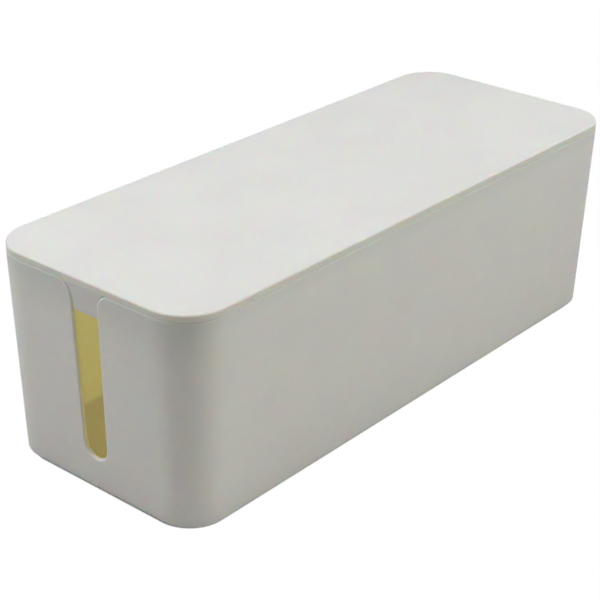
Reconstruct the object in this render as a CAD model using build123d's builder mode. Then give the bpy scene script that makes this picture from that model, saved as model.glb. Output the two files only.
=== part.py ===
"""Desk cable box: a deep drafted tray with a cable slot in each end wall, closed by a lift-off lid.

The lid drops onto the tray's rim. A lip under it locates it inside the walls, and a tab at each end
closes the top of the cable slot. Four rubber feet are glued into shallow seats under the floor.

Frame: +Z up, +X along the box, +Y across it. The origin is on the table, under the middle of the box.
Units are millimetres and degrees. Walls, lips and insets are measured level, across the wall.
"""

from build123d import *
from math import acos, atan2, cos, hypot, radians, sin, tan
import os

# Overall sizes
LENGTH = 400.0  # outside, at the tray's rim, where the box is widest
WIDTH = 154.0  # outside, at the tray's rim
HEIGHT = 132.5  # from the soles of the feet to the top of the lid
CORNER_RADIUS = 26.0  # plan corners, at the rim
DRAFT = 2.0  # how far the walls lean in towards the floor

# Tray
WALL = 2.5
FLOOR = 2.5
BASE_EDGE_RADIUS = 2.0  # outside, around the underside
FLOOR_FILLET = 3.0  # inside, around the floor
RIM_EDGE_RADIUS = 1.0  # outside, around the rim and the slots

# Cable slots
SLOT_TOP_WIDTH = 20.6  # between the straight sides, produced up to the rim
SLOT_FOOT_WIDTH = 17.6  # across the slot's round foot
SLOT_SILL = 20.0  # from the tray's underside to the lowest point of the slot
SLOT_FLARE_RADIUS = 9.0

# Lid
LID_RIM = 4.3  # height of the edge that shows above the tray
LID_PLATE = 2.5
LID_INSET = 0.25  # how far the lid stands back from the tray's outside
LID_EDGE_RADIUS = 1.2
LID_SEAM_RADIUS = 0.3  # around the lower edge of the rim and around the tabs
LIP_DEPTH = 6.0
LIP_WALL = 1.8
LIP_CLEARANCE = 0.4  # between the lip and the tray's inside
LIP_EDGE_CHAMFER = 0.6
LIP_END_MARGIN = 0.4  # from the slot's side to the end of the lip, which stops behind each tab

# Lid tabs
TAB_DROP = 16.2  # from the tray's rim to the tab's lower edge
TAB_CLEARANCE = 0.4  # to the side of the slot
TAB_LEAN = 3.0  # how much more than the walls the tab's outer face leans in
TAB_RIB_WALL = 1.4
TAB_RIB_SPACING = 9.0
TAB_RIB_REACH = 9.0  # from the tab's inner face, where the rib meets the lid's plate
TAB_RIB_FOOT = 1.0  # the same, at the rib's lower end
TAB_RIB_STOP = 3.0  # from the tab's lower edge up to the rib's lower end

# Feet
FOOT_DIAMETER = 14.0
FOOT_PROUD = 1.5  # how far a foot stands out below the tray
FOOT_SEAT = 0.8  # depth of its seat in the tray's underside
FOOT_SEAT_CLEARANCE = 0.3
FOOT_INSET = 22.0  # from the tray's base outline to the foot's centre
FOOT_EDGE_RADIUS = 0.5

# Levels and places that follow from the sizes above
BASE_Z = FOOT_PROUD
FLOOR_Z = BASE_Z + FLOOR
RIM_Z = HEIGHT - LID_RIM
PLATE_Z = HEIGHT - LID_PLATE
SILL_Z = BASE_Z + SLOT_SILL
TAB_Z = RIM_Z - TAB_DROP
LIP_Z = RIM_Z - LIP_DEPTH
LIP_BREAK = SLOT_TOP_WIDTH + 2 * LIP_END_MARGIN
LEAN = tan(radians(DRAFT))
BASE_SHRINK = (RIM_Z - BASE_Z) * LEAN
LIP_INSET = WALL + LIP_CLEARANCE  # from the tray's outside to the outside of the lip
FOOT_X = LENGTH / 2 - BASE_SHRINK - FOOT_INSET
FOOT_Y = WIDTH / 2 - BASE_SHRINK - FOOT_INSET
FOOT_PLACES = {
    "foot_left_front": (-FOOT_X, -FOOT_Y),
    "foot_left_rear": (-FOOT_X, FOOT_Y),
    "foot_right_front": (FOOT_X, -FOOT_Y),
    "foot_right_rear": (FOOT_X, FOOT_Y),
}
TAB_INNER_X = LENGTH / 2 - LIP_INSET  # the tab's inner face, at the rim
RIB_ROOT_X = LENGTH / 2 - TAB_DROP * LEAN - (LID_INSET + LIP_INSET) / 2  # inside the tab's wall
RIB_TOP_Z = HEIGHT - LID_PLATE / 2  # in the middle of the lid's plate
RIB_LOW_Z = TAB_Z + TAB_RIB_STOP
OVERRUN = 5.0  # how far a cutting shape runs past what it cuts
SLACK = 0.01  # for picking edges and faces by their place


def box_outline(inset, level=RIM_Z):
    """The box's plan at a level, moved in by inset: a rounded rectangle that shrinks with the draft."""
    grow = (level - RIM_Z) * LEAN - inset
    with BuildSketch(Plane.XY.offset(level), mode=Mode.PRIVATE) as outline:
        RectangleRounded(LENGTH + 2 * grow, WIDTH + 2 * grow, CORNER_RADIUS + grow)
    return outline.sketch


def drafted(inset, high, low, more_lean=0.0, mode=Mode.ADD):
    """Adds or cuts the block between two levels that follows the box's leaning walls at an inset."""
    extrude(box_outline(inset, high), amount=low - high, taper=DRAFT + more_lean, mode=mode)


def slot_outline(inset):
    """The end view of a cable slot, drawn in by inset: a round foot, leaning sides and a flared mouth."""
    foot_radius = SLOT_FOOT_WIDTH / 2
    centre_z = SILL_Z + foot_radius
    rise = RIM_Z - centre_z
    half_top = SLOT_TOP_WIDTH / 2
    side_lean = acos(foot_radius / hypot(half_top, rise)) - atan2(rise, half_top)
    tangent = (foot_radius * cos(side_lean), centre_z - foot_radius * sin(side_lean))
    half_mouth = half_top + SLOT_FLARE_RADIUS + OVERRUN
    with BuildSketch(Plane.YZ.offset(-LENGTH / 2 - OVERRUN), mode=Mode.PRIVATE) as outline:
        with BuildLine():
            Polyline((0, HEIGHT), (half_mouth, HEIGHT), (half_mouth, RIM_Z), (half_top, RIM_Z), tangent)
            RadiusArc(tangent, (0, SILL_Z), foot_radius)
            mirror(about=Plane.YZ)
        make_face()
        at_rim = outline.vertices().filter_by_position(Axis.Y, RIM_Z - SLACK, RIM_Z + SLACK)
        fillet(at_rim.sort_by(Axis.X)[1:3], SLOT_FLARE_RADIUS)
        if inset:
            offset(amount=-inset, mode=Mode.REPLACE)
    return outline.sketch


def leans_out(face):
    """Whether a face is part of the outside walls, which lean out and so face slightly down."""
    middle = face.center()
    normal = face.normal_at(middle)
    return normal.Z < -SLACK and normal.dot(Vector(middle.X, middle.Y, 0)) > SLACK


def wall_borders(shape, low, high):
    """The edges where the outside walls end, in a rim or a slot or a tab, between two levels."""
    edges = [edge for wall in shape.faces().filter_by(leans_out) for edge in wall.edges()]
    return ShapeList(
        edge
        for edge in edges
        if edge.bounding_box().min.Z > low
        and edge.bounding_box().max.Z < high
        and sum(edge.is_same(other) for other in edges) == 1
    )


SLOT_CUT = LENGTH + 2 * OVERRUN  # along the box, through both end walls

with BuildPart() as tray:
    drafted(0, RIM_Z, BASE_Z)
    fillet(tray.faces().sort_by(Axis.Z)[0].edges(), BASE_EDGE_RADIUS)
    drafted(WALL, RIM_Z, FLOOR_Z, mode=Mode.SUBTRACT)
    floor_face = tray.faces().filter_by(Plane.XY).sort_by(Axis.Z)[1]
    fillet(floor_face.edges(), FLOOR_FILLET)
    extrude(slot_outline(0), amount=SLOT_CUT, mode=Mode.SUBTRACT)
    fillet(wall_borders(tray, SILL_Z - SLACK, RIM_Z + SLACK), RIM_EDGE_RADIUS)
    with BuildSketch(Plane.XY.offset(BASE_Z)):
        with Locations(*FOOT_PLACES.values()):
            Circle(FOOT_DIAMETER / 2 + FOOT_SEAT_CLEARANCE)
    extrude(amount=FOOT_SEAT, mode=Mode.SUBTRACT)
tray.part.label = "tray"

with BuildPart() as lid_top:
    drafted(LID_INSET, HEIGHT, RIM_Z)
    fillet(lid_top.faces().sort_by(Axis.Z)[0].edges(), LID_SEAM_RADIUS)
    fillet(lid_top.faces().sort_by(Axis.Z)[-1].edges(), LID_EDGE_RADIUS)
    drafted(LIP_INSET + LIP_WALL, PLATE_Z, RIM_Z, mode=Mode.SUBTRACT)

with BuildPart() as lip:
    drafted(LIP_INSET, RIM_Z, LIP_Z)
    drafted(LIP_INSET + LIP_WALL, RIM_Z, LIP_Z, mode=Mode.SUBTRACT)
    with Locations((0, 0, LIP_Z)):
        Box(LENGTH, LIP_BREAK, LIP_DEPTH, align=(Align.CENTER, Align.CENTER, Align.MIN), mode=Mode.SUBTRACT)
    chamfer(lip.faces().filter_by(Plane.XY).group_by(Axis.Z)[0].edges(), LIP_EDGE_CHAMFER)

with BuildPart() as lid:
    # The tabs are what is left of a hollow block inside the slot's end view.
    drafted(LID_INSET, PLATE_Z, TAB_Z, more_lean=TAB_LEAN)
    drafted(LIP_INSET, PLATE_Z, TAB_Z, mode=Mode.SUBTRACT)
    extrude(slot_outline(TAB_CLEARANCE), amount=SLOT_CUT, mode=Mode.INTERSECT)
    fillet(wall_borders(lid, TAB_Z - SLACK, RIM_Z + TAB_CLEARANCE + SLACK), LID_SEAM_RADIUS)
    add(lid_top.part)
    add(lip.part)
    for middle in (-TAB_RIB_SPACING / 2, TAB_RIB_SPACING / 2):
        with BuildSketch(Plane.XZ.offset(-middle - TAB_RIB_WALL / 2)):
            with BuildLine():
                Polyline(
                    (RIB_ROOT_X, RIB_TOP_Z),
                    (TAB_INNER_X - TAB_RIB_REACH, RIB_TOP_Z),
                    (TAB_INNER_X - TAB_RIB_REACH, PLATE_Z),
                    (TAB_INNER_X - TAB_RIB_FOOT, RIB_LOW_Z),
                    (RIB_ROOT_X, RIB_LOW_Z),
                    close=True,
                )
            make_face()
            mirror(about=Plane.YZ)
        extrude(amount=TAB_RIB_WALL)
lid.part.label = "lid"

os.makedirs("parts", exist_ok=True)
export_step(tray.part, "parts/tray.step")
export_step(lid.part, "parts/lid.step")

for name, place in FOOT_PLACES.items():
    with BuildPart() as foot:
        with BuildSketch():
            with Locations(place):
                Circle(FOOT_DIAMETER / 2)
        extrude(amount=FOOT_PROUD + FOOT_SEAT)
        fillet(foot.faces().sort_by(Axis.Z)[0].edges(), FOOT_EDGE_RADIUS)
    foot.part.label = name
    export_step(foot.part, f"parts/{name}.step")
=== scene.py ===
"""Looks for the desk cable box: moulded plastic, rubber feet, soft studio light and the camera.

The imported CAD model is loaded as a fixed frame. Lengths are metres, angles degrees.
"""

from math import cos, radians, sin

import bpy
from mathutils import Matrix, Vector


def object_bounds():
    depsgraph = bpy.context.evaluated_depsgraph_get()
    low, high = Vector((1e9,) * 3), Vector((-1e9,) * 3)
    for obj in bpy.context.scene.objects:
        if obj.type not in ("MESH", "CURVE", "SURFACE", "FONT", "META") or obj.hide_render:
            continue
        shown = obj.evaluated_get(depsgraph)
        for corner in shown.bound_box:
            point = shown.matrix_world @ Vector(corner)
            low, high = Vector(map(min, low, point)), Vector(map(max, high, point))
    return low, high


# Camera: a distant viewpoint above the left front corner
VIEW_AZIMUTH = -49.67
VIEW_ELEVATION = 26.62
VIEW_ROLL = 0.66
VIEW_DISTANCE = 1.0205
AIM_OFFSET = Vector((-0.0033, 0.0182, -0.0249))  # from the middle of the box to the point looked at
SENSOR_WIDTH = 36.0
LENS = 96.7
FAR_CLIP = 50.0

# Studio lamps: azimuth, elevation, distance, side length, strength in watts, colour.
# The places were chosen one by one; the strengths and tints are a least-squares fit, rounded and adjusted.
LAMPS = {
    "top_lamp": (0, 90, 1.6, 0.8, 5.4, (0.90, 0.92, 1.0)),
    "left_back_low_lamp": (-135, 20, 1.5, 1.0, 2.8, (1.0, 1.0, 0.94)),
    "left_back_high_lamp": (-135, 50, 1.5, 1.0, 10.4, (1.0, 1.0, 1.0)),
    "right_front_lamp": (45, 50, 1.5, 1.0, 6.8, (1.0, 1.0, 1.0)),
    "front_lamp": (0, 20, 1.5, 1.0, 4.75, (1.0, 1.0, 0.88)),
    "right_lamp": (90, 20, 1.5, 1.0, 3.2, (1.0, 1.0, 1.0)),
}

# Lamp inside the box, pointing down: it stands in for the daylight that soaks through the thin walls
INNER_LAMP_LENGTH = 0.30
INNER_LAMP_WIDTH = 0.08
INNER_LAMP_HEIGHT = 0.105
INNER_LAMP_POWER = 0.028
INNER_LAMP_COLOUR = (0.75, 1.0, 0.75)

# Studio floor: the sheet that the camera sees is near white, the one that lights the box is greyer
FLOOR_SIZE = 8.0
FLOOR_COLOUR = (0.90, 0.90, 0.90)
FLOOR_GLOW = 1.0
BOUNCE_COLOUR = (0.55, 0.55, 0.55)

# Shade painted on the floor under the box, and on the sheet that lights it also close around it
FOOTPRINT_HALF_LENGTH = 0.1955
FOOTPRINT_HALF_WIDTH = 0.0719
FOOTPRINT_CORNER = 0.0245
SEEN_SHADE = (0.10, 0.10, 0.10)
SEEN_SHADE_GLOW = 0.15
SEEN_SHADE_START = -0.0022
SEEN_SHADE_END = -0.0012
BOUNCE_SHADE = (0.40, 0.40, 0.40)
BOUNCE_SHADE_START = 0.0
BOUNCE_SHADE_END = 0.010

# Light paths: pale plastic needs many diffuse bounces
BOUNCES = 32
DIFFUSE_BOUNCES = 24

# Moulded plastic: cream white. Starts and fulls are how far a surface faces away from the box's middle.
PLASTIC_COLOUR = (0.90, 0.904, 0.866)
PLASTIC_SOAK = 0.0015  # how far light travels under the skin
PLASTIC_RADIUS = (1.0, 0.5, 0.25)  # red travels furthest
PLASTIC_ROUGHNESS = 0.5
INSIDE_PAINTED_GLOW = (0.95, 0.86, 0.62)  # painted glow: warm, in place of light that came through the walls
INSIDE_SOAK = 0.024
INSIDE_START = -0.02
INSIDE_FULL = -0.03
SLOT_SIDE_PAINTED_GLOW = (0.97, 0.95, 0.72)  # painted glow: the wall's thickness, seen in the cable slots, coloured warm and light in place of light that comes through it
SLOT_SIDE_START = -0.004
SLOT_SIDE_FULL = -0.008
SLOT_SIDE_SOAK = 0.010
# painted glow: the lid's rim band is coloured warmer in place of light that comes through it
RIM_PAINTED_GLOW = (0.90, 0.894, 0.81)
# painted shade: the lid's tabs are coloured greyer than the rim, in place of the shade on them
TAB_PAINTED_SHADE = (0.82, 0.825, 0.80)
SEAM_HEIGHT = 0.1282
RIM_SHADE = (0.88, 0.88, 0.88)  # painted shade: the tray is coloured a little darker just below the lid
# painted shade on the long sides, just below the lid
SIDE_SHADE = (0.95, 0.95, 0.945)
RIM_SHADE_HEIGHT = 0.028  # on the ends and corners
SIDE_SHADE_HEIGHT = 0.010  # on the long sides
SEAM_BLEND = 0.0002  # half the height over which the lid's rim colour turns into the tab's

# How far a surface's direction points up, or along the box, where a mask begins and where it is full
FLOOR_UP_START = 0.3
FLOOR_UP_FULL = 0.7
PLATE_UP_START = 0.2
PLATE_UP_FULL = 0.8
END_ALONG_START = 0.1
END_ALONG_FULL = 0.6

# Cable slot, as in the CAD part: half the end view, from the middle of the slot
SLOT_FOOT_RADIUS = 0.0088
SLOT_FOOT_HEIGHT = 0.0303
SLOT_HALF_TOP = 0.0103
SLOT_FLARE = 0.009
SLOT_BORDER_START = 0.0015
SLOT_BORDER_FULL = 0.0008
SLOT_BORDER_PAINTED_HIGHLIGHT = (0.985, 0.975, 0.915)  # painted highlight: lighter where the thin edge catches more light

# Unevenness of the plastic: broad patches of tone, and a fine grain
NOISE_LOW = 0.3
NOISE_HIGH = 0.7
SHADE_SIZE = 28.0
SHADE_DETAIL = 3.0
SHADE_CONTRAST = 0.012
ROUGHNESS_SPREAD = 0.05
GRAIN_SIZE = 2600.0
GRAIN_DETAIL = 2.0
GRAIN_DEPTH = 0.00002
GRAIN_STRENGTH = 0.25

# Rubber feet
RUBBER_DARK = (0.045, 0.045, 0.045)
RUBBER_LIGHT = (0.075, 0.075, 0.072)
RUBBER_SMOOTHEST = 0.65
RUBBER_ROUGHEST = 0.85
RUBBER_GRAIN_SIZE = 1800.0
RUBBER_GRAIN_DETAIL = 3.0
RUBBER_GRAIN_DEPTH = 0.00005
RUBBER_GRAIN_STRENGTH = 0.5


def unit(azimuth, elevation):
    """The direction from the box towards a point at this azimuth and elevation; azimuth 0 is the front."""
    a = radians(azimuth)
    e = radians(elevation)
    return Vector((sin(a) * cos(e), -cos(a) * cos(e), sin(e)))


def add_camera(middle):
    """The camera, aimed beside the middle of the box so that the box sits in the picture as it should."""
    data = bpy.data.cameras.new("camera")
    data.sensor_width = SENSOR_WIDTH
    data.lens = LENS
    data.clip_end = FAR_CLIP
    camera = bpy.data.objects.new("camera", data)
    bpy.context.scene.collection.objects.link(camera)
    back = unit(VIEW_AZIMUTH, VIEW_ELEVATION)
    a = radians(VIEW_AZIMUTH)
    right = Vector((cos(a), sin(a), 0.0))
    up = back.cross(right)
    r = radians(VIEW_ROLL)
    rolled_right = right * cos(r) + up * sin(r)
    rolled_up = up * cos(r) - right * sin(r)
    turn = Matrix((rolled_right, rolled_up, back)).transposed()
    place = middle + AIM_OFFSET + back * VIEW_DISTANCE
    camera.matrix_world = Matrix.Translation(place) @ turn.to_4x4()
    bpy.context.scene.camera = camera


def add_area_lamp(name, place, facing, sides, power, colour):
    """A rectangular lamp at a place; facing is the direction from what it lights back to the lamp."""
    data = bpy.data.lights.new(name, "AREA")
    data.shape = "RECTANGLE"
    data.size = sides[0]
    data.size_y = sides[1]
    data.energy = power
    data.color = colour
    lamp = bpy.data.objects.new(name, data)
    lamp.location = place
    lamp.rotation_euler = facing.to_track_quat("Z", "Y").to_euler()
    lamp.visible_camera = False
    bpy.context.scene.collection.objects.link(lamp)


def add_lamps(middle):
    """The studio lamps around the box and the small one inside it."""
    for name, (azimuth, elevation, distance, side, power, colour) in LAMPS.items():
        away = unit(azimuth, elevation)
        add_area_lamp(name, middle + away * distance, away, (side, side), power, colour)
    place = Vector((middle.x, middle.y, INNER_LAMP_HEIGHT))
    sides = (INNER_LAMP_LENGTH, INNER_LAMP_WIDTH)
    add_area_lamp("inner_lamp", place, Vector((0, 0, 1)), sides, INNER_LAMP_POWER, INNER_LAMP_COLOUR)


def add_node(tree, kind, **settings):
    """A new node with the given settings."""
    node = tree.nodes.new(kind)
    for key, value in settings.items():
        setattr(node, key, value)
    return node


def remap(tree, source, low, high, result_low=0.0, result_high=1.0):
    """A number that is result_low where the source is low and result_high where it is high."""
    node = add_node(tree, "ShaderNodeMapRange")
    node.inputs["From Min"].default_value = low
    node.inputs["From Max"].default_value = high
    node.inputs["To Min"].default_value = result_low
    node.inputs["To Max"].default_value = result_high
    tree.links.new(source, node.inputs["Value"])
    return node.outputs["Result"]


def combine(tree, operation, first, second):
    """The result of an arithmetic operation on two numbers or sockets."""
    node = add_node(tree, "ShaderNodeMath", operation=operation)
    for socket, value in zip(node.inputs, (first, second)):
        if isinstance(value, float):
            socket.default_value = value
        else:
            tree.links.new(value, socket)
    return node.outputs[0]


def length_of(tree, first, second):
    """The length of a flat vector with these two sides."""
    flat = add_node(tree, "ShaderNodeCombineXYZ")
    tree.links.new(first, flat.inputs[0])
    tree.links.new(second, flat.inputs[1])
    length = add_node(tree, "ShaderNodeVectorMath", operation="LENGTH")
    tree.links.new(flat.outputs[0], length.inputs[0])
    return length.outputs["Value"]


def fill(tree, socket, colour):
    """Gives a colour socket a fixed colour or a link to another socket."""
    if isinstance(colour, tuple):
        socket.default_value = (*colour, 1.0)
    else:
        tree.links.new(colour, socket)


def blend(tree, factor, first, second, mode="MIX"):
    """The first colour where the factor is 0, and the second where it is 1; no factor counts as 1."""
    node = add_node(tree, "ShaderNodeMix", data_type="RGBA", blend_type=mode)
    if factor is None:
        node.inputs[0].default_value = 1.0
    else:
        tree.links.new(factor, node.inputs[0])
    fill(tree, node.inputs[6], first)
    fill(tree, node.inputs[7], second)
    return node.outputs[2]


def add_noise(tree, coordinates, size, detail):
    """Soft random patches; a higher size gives smaller patches."""
    node = add_node(tree, "ShaderNodeTexNoise")
    node.inputs["Scale"].default_value = size
    node.inputs["Detail"].default_value = detail
    tree.links.new(coordinates, node.inputs["Vector"])
    return node.outputs["Fac"]


def add_bump(tree, height, depth, strength):
    """A bumped surface direction made from a height."""
    node = add_node(tree, "ShaderNodeBump")
    node.inputs["Distance"].default_value = depth
    node.inputs["Strength"].default_value = strength
    tree.links.new(height, node.inputs["Height"])
    return node.outputs["Normal"]


def new_material(name):
    """A new material; gives it back with its node tree and its shader."""
    material = bpy.data.materials.new(name)
    material.use_nodes = True
    tree = material.node_tree
    return material, tree, tree.nodes["Principled BSDF"]


def inward_masks(tree, coordinates, middle):
    """Two masks, each 0 on the outside: one is 1 from the slots' sides inwards, one only inside the box."""
    from_middle = add_node(tree, "ShaderNodeVectorMath", operation="SUBTRACT")
    tree.links.new(coordinates.outputs["Object"], from_middle.inputs[0])
    from_middle.inputs[1].default_value = tuple(middle)
    outward = add_node(tree, "ShaderNodeVectorMath", operation="DOT_PRODUCT")
    tree.links.new(from_middle.outputs[0], outward.inputs[0])
    tree.links.new(coordinates.outputs["Normal"], outward.inputs[1])
    direction = add_node(tree, "ShaderNodeSeparateXYZ")
    tree.links.new(coordinates.outputs["Normal"], direction.inputs[0])
    not_floor = remap(tree, direction.outputs["Z"], FLOOR_UP_START, FLOOR_UP_FULL, 1.0, 0.0)
    slot_side = remap(tree, outward.outputs["Value"], SLOT_SIDE_START, SLOT_SIDE_FULL)
    inside = remap(tree, outward.outputs["Value"], INSIDE_START, INSIDE_FULL)
    slot_side = combine(tree, "MULTIPLY", slot_side, not_floor)
    return slot_side, combine(tree, "MULTIPLY", inside, not_floor)


def lid_colour(tree, coordinates):
    """Plastic colour of the lid: a painted warm glow on its rim, where the light comes through, and painted
    shade that makes its tabs greyer.
    """
    place = add_node(tree, "ShaderNodeSeparateXYZ")
    tree.links.new(coordinates.outputs["Object"], place.inputs[0])
    direction = add_node(tree, "ShaderNodeSeparateXYZ")
    tree.links.new(coordinates.outputs["Normal"], direction.inputs[0])
    upright = remap(tree, direction.outputs["Z"], PLATE_UP_START, PLATE_UP_FULL, 1.0, 0.0)
    below_seam = remap(tree, place.outputs["Z"], SEAM_HEIGHT + SEAM_BLEND, SEAM_HEIGHT - SEAM_BLEND)
    # painted glow on the lid's rim band
    rim = blend(tree, upright, PLASTIC_COLOUR, RIM_PAINTED_GLOW)
    # painted shade: below the seam the tabs are coloured greyer
    return blend(tree, below_seam, rim, TAB_PAINTED_SHADE)


def slot_border(tree, place):
    """A mask that is 1 in a thin band on the wall along the border of a cable slot, where a painted
    highlight goes.
    """
    slope = (SLOT_HALF_TOP - SLOT_FOOT_RADIUS) / (SEAM_HEIGHT - SLOT_FOOT_HEIGHT)
    aside = combine(tree, "ABSOLUTE", place.outputs["Y"], 0.0)
    narrowing = combine(tree, "MULTIPLY", combine(tree, "SUBTRACT", SEAM_HEIGHT, place.outputs["Z"]), slope)
    upright_aside = combine(tree, "ADD", aside, narrowing)
    before_flare = combine(tree, "SUBTRACT", SLOT_HALF_TOP + SLOT_FLARE, upright_aside)
    before_flare = combine(tree, "MAXIMUM", before_flare, 0.0)
    in_flare = combine(tree, "SUBTRACT", place.outputs["Z"], SEAM_HEIGHT - SLOT_FLARE)
    in_flare = combine(tree, "MAXIMUM", in_flare, 0.0)
    below_foot = combine(tree, "SUBTRACT", place.outputs["Z"], SLOT_FOOT_HEIGHT)
    below_foot = combine(tree, "MINIMUM", below_foot, 0.0)
    from_flare = combine(tree, "SUBTRACT", SLOT_FLARE, length_of(tree, before_flare, in_flare))
    round_foot = combine(tree, "SUBTRACT", length_of(tree, aside, below_foot), aside)
    from_border = combine(tree, "ADD", from_flare, round_foot)
    band = remap(tree, from_border, SLOT_BORDER_START, SLOT_BORDER_FULL)
    near_slot = remap(tree, before_flare, 0.0, SLOT_FLARE / 2)
    return combine(tree, "MULTIPLY", band, near_slot)


def tray_colour(tree, coordinates):
    """Plastic colour of the tray: a faint painted shade below the lid, deeper and softer on the ends, and a
    painted highlight along the slots' borders.
    """
    place = add_node(tree, "ShaderNodeSeparateXYZ")
    tree.links.new(coordinates.outputs["Object"], place.inputs[0])
    direction = add_node(tree, "ShaderNodeSeparateXYZ")
    tree.links.new(coordinates.outputs["Normal"], direction.inputs[0])
    along = add_node(tree, "ShaderNodeMath", operation="ABSOLUTE")
    tree.links.new(direction.outputs["X"], along.inputs[0])
    end_share = remap(tree, along.outputs[0], END_ALONG_START, END_ALONG_FULL)
    # painted shade below the lid, on the ends and on the long sides
    end_shade = remap(tree, place.outputs["Z"], SEAM_HEIGHT - RIM_SHADE_HEIGHT, SEAM_HEIGHT)
    side_shade = remap(tree, place.outputs["Z"], SEAM_HEIGHT - SIDE_SHADE_HEIGHT, SEAM_HEIGHT)
    ends = blend(tree, end_shade, (1.0, 1.0, 1.0), RIM_SHADE)
    sides = blend(tree, side_shade, (1.0, 1.0, 1.0), SIDE_SHADE)
    shade = blend(tree, end_share, sides, ends)
    colour = blend(tree, None, shade, PLASTIC_COLOUR, "MULTIPLY")
    # painted highlight along the borders of the cable slots
    return blend(tree, slot_border(tree, place), colour, SLOT_BORDER_PAINTED_HIGHLIGHT)


def make_plastic(name, middle, is_lid):
    """Pale moulded plastic with a fine grain; light soaks through its walls, and the inside is painted a
    warm glow.
    """
    material, tree, shader = new_material(name)
    coordinates = add_node(tree, "ShaderNodeTexCoord")
    slot_side, inside = inward_masks(tree, coordinates, middle)
    colour = lid_colour(tree, coordinates) if is_lid else tray_colour(tree, coordinates)
    # painted glow: the slots' sides are coloured warm and light in place of light that comes through the
    # wall
    colour = blend(tree, slot_side, colour, SLOT_SIDE_PAINTED_GLOW)
    # painted glow: the inside is coloured warm in place of light that came through the walls
    colour = blend(tree, inside, colour, INSIDE_PAINTED_GLOW)
    patches = add_noise(tree, coordinates.outputs["Object"], SHADE_SIZE, SHADE_DETAIL)
    shade = remap(tree, patches, NOISE_LOW, NOISE_HIGH, 1.0 - SHADE_CONTRAST, 1.0 + SHADE_CONTRAST)
    shaded = add_node(tree, "ShaderNodeVectorMath", operation="SCALE")
    tree.links.new(colour, shaded.inputs[0])
    tree.links.new(shade, shaded.inputs["Scale"])
    tree.links.new(shaded.outputs[0], shader.inputs["Base Color"])
    smoothest = PLASTIC_ROUGHNESS - ROUGHNESS_SPREAD
    roughest = PLASTIC_ROUGHNESS + ROUGHNESS_SPREAD
    rough = remap(tree, patches, NOISE_LOW, NOISE_HIGH, smoothest, roughest)
    tree.links.new(rough, shader.inputs["Roughness"])
    grain = add_noise(tree, coordinates.outputs["Object"], GRAIN_SIZE, GRAIN_DETAIL)
    bumped = add_bump(tree, grain, GRAIN_DEPTH, GRAIN_STRENGTH)
    tree.links.new(bumped, shader.inputs["Normal"])
    slot_soak = remap(tree, slot_side, 0.0, 1.0, PLASTIC_SOAK, SLOT_SIDE_SOAK)
    inside_soak = remap(tree, inside, 0.0, 1.0, 0.0, INSIDE_SOAK - SLOT_SIDE_SOAK)
    soak = combine(tree, "ADD", slot_soak, inside_soak)
    tree.links.new(soak, shader.inputs["Subsurface Scale"])
    shader.inputs["Subsurface Weight"].default_value = 1.0
    shader.inputs["Subsurface Radius"].default_value = PLASTIC_RADIUS
    return material


def make_rubber():
    """Soft dark grey rubber with a dull, slightly uneven skin."""
    material, tree, shader = new_material("foot_rubber")
    coordinates = add_node(tree, "ShaderNodeTexCoord")
    grain = add_noise(tree, coordinates.outputs["Object"], RUBBER_GRAIN_SIZE, RUBBER_GRAIN_DETAIL)
    colour = blend(tree, grain, RUBBER_DARK, RUBBER_LIGHT)
    tree.links.new(colour, shader.inputs["Base Color"])
    rough = remap(tree, grain, NOISE_LOW, NOISE_HIGH, RUBBER_SMOOTHEST, RUBBER_ROUGHEST)
    tree.links.new(rough, shader.inputs["Roughness"])
    bumped = add_bump(tree, grain, RUBBER_GRAIN_DEPTH, RUBBER_GRAIN_STRENGTH)
    tree.links.new(bumped, shader.inputs["Normal"])
    return material


def paint(frame, middle):
    """Gives every CAD part its material."""
    rubber = make_rubber()
    for name, part in frame["nodes"].items():
        part.data.materials.clear()
        if name.startswith("foot"):
            part.data.materials.append(rubber)
        else:
            part.data.materials.append(make_plastic(name + "_plastic", middle, name == "lid"))


def footprint_distance(tree):
    """How far a point of the floor lies outside the box's base outline; negative under the box."""
    coordinates = add_node(tree, "ShaderNodeTexCoord")
    size = add_node(tree, "ShaderNodeVectorMath", operation="ABSOLUTE")
    tree.links.new(coordinates.outputs["Object"], size.inputs[0])
    beyond = add_node(tree, "ShaderNodeVectorMath", operation="SUBTRACT")
    tree.links.new(size.outputs[0], beyond.inputs[0])
    straight = (FOOTPRINT_HALF_LENGTH - FOOTPRINT_CORNER, FOOTPRINT_HALF_WIDTH - FOOTPRINT_CORNER, 0.0)
    beyond.inputs[1].default_value = straight
    outside = add_node(tree, "ShaderNodeVectorMath", operation="MAXIMUM")
    tree.links.new(beyond.outputs[0], outside.inputs[0])
    length = add_node(tree, "ShaderNodeVectorMath", operation="LENGTH")
    tree.links.new(outside.outputs[0], length.inputs[0])
    return length.outputs["Value"]


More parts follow.
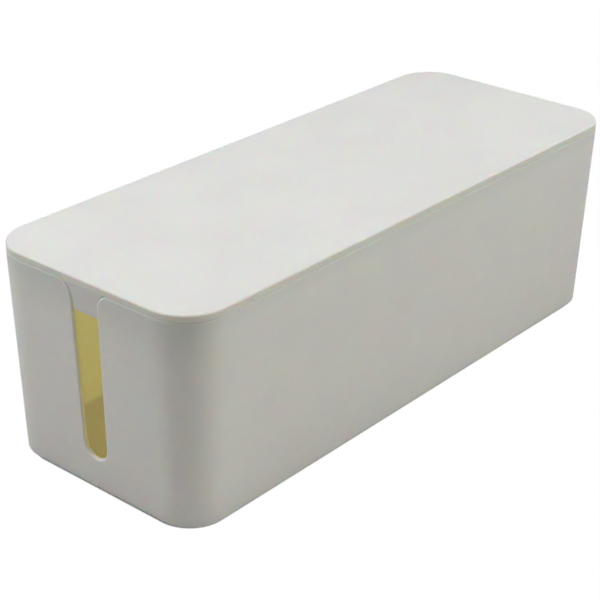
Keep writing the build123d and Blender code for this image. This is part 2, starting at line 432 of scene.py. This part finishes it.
def add_floor(name, colours, glows, shade_start, shade_end):
    """A large flat floor sheet, kept apart from the object.

    The colours and glows are pairs: first under the box, up to shade_start outside its base outline,
    and then in the open, from shade_end outwards.
    """
    bpy.ops.mesh.primitive_plane_add(size=FLOOR_SIZE)
    floor = bpy.context.object
    floor.name = name
    material, tree, shader = new_material(name)
    distance = footprint_distance(tree)
    start = FOOTPRINT_CORNER + shade_start
    end = FOOTPRINT_CORNER + shade_end
    clear = remap(tree, distance, start, end)
    tree.links.new(blend(tree, clear, *colours), shader.inputs["Base Color"])
    tree.links.new(remap(tree, distance, start, end, *glows), shader.inputs["Emission Strength"])
    shader.inputs["Emission Color"].default_value = (1.0, 1.0, 1.0, 1.0)
    shader.inputs["Roughness"].default_value = 1.0
    shader.inputs["Specular IOR Level"].default_value = 0.0
    floor.data.materials.append(material)
    return floor


def add_studio():
    """The white floor that is seen, the greyer one that lights the box, and an unlit surround."""
    colours = (SEEN_SHADE, FLOOR_COLOUR)
    glows = (SEEN_SHADE_GLOW, FLOOR_GLOW)
    seen = add_floor("floor", colours, glows, SEEN_SHADE_START, SEEN_SHADE_END)
    seen.visible_diffuse = False
    seen.visible_glossy = False
    seen.visible_transmission = False
    seen.visible_volume_scatter = False
    seen.visible_shadow = False
    colours = (BOUNCE_SHADE, BOUNCE_COLOUR)
    bounce = add_floor("floor_bounce", colours, (0.0, 0.0), BOUNCE_SHADE_START, BOUNCE_SHADE_END)
    bounce.visible_camera = False
    world = bpy.data.worlds.new("studio")
    world.use_nodes = True
    background = world.node_tree.nodes["Background"]
    background.inputs["Color"].default_value = (1.0, 1.0, 1.0, 1.0)
    background.inputs["Strength"].default_value = 0.0
    bpy.context.scene.world = world


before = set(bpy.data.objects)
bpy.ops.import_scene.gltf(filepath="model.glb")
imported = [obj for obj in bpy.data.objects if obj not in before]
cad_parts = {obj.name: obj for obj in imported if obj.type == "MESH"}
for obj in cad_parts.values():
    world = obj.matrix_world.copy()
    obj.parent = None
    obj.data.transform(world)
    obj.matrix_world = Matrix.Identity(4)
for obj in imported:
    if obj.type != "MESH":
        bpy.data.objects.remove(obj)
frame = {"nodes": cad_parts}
cad_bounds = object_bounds()
middle = (cad_bounds[0] + cad_bounds[1]) / 2

paint(frame, middle)
add_studio()
add_lamps(middle)
add_camera(middle)

scene = bpy.context.scene
scene.view_settings.view_transform = "Standard"
scene.cycles.max_bounces = BOUNCES
scene.cycles.diffuse_bounces = DIFFUSE_BOUNCES
